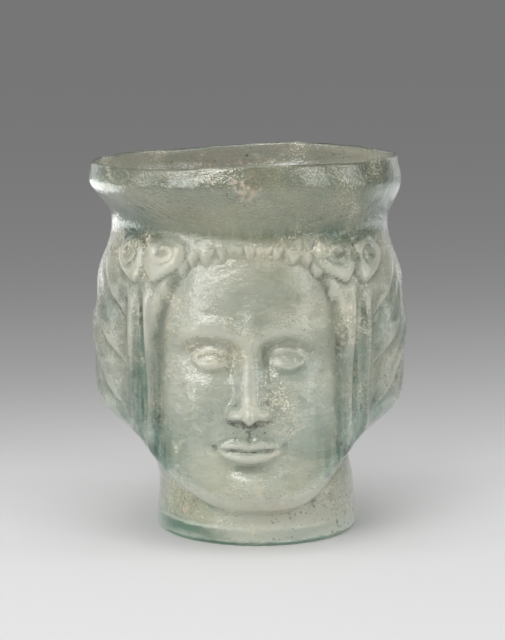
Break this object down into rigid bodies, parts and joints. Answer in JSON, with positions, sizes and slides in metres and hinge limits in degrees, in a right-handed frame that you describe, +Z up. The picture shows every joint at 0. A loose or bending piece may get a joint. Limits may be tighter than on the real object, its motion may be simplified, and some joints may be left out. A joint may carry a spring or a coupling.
{
  "type": "janiform head cup",
  "caption": "Mould-blown glass beaker shaped as two heads set back to back, with a round foot and a flared mouth.",
  "frame": {"origin": "on the standing plane, under the middle of the cup", "axes": "+Z up to the mouth; one face looks along -Y, the other along +Y; +X is to the right of the -Y face as seen"},
  "size_m": [0.079, 0.0824, 0.0944],
  "materials": {
    "front_head_half": "weathered satin",
    "rear_head_half": "weathered satin",
    "flared_mouth": "clear with weathering",
    "base_disc": "weathered satin"
  },
  "bodies": {
    "root": {"front_head_half": "front_head_half", "rear_head_half": "rear_head_half", "flared_mouth": "flared_mouth", "base_disc": "base_disc"}
  },
  "joints": []
}
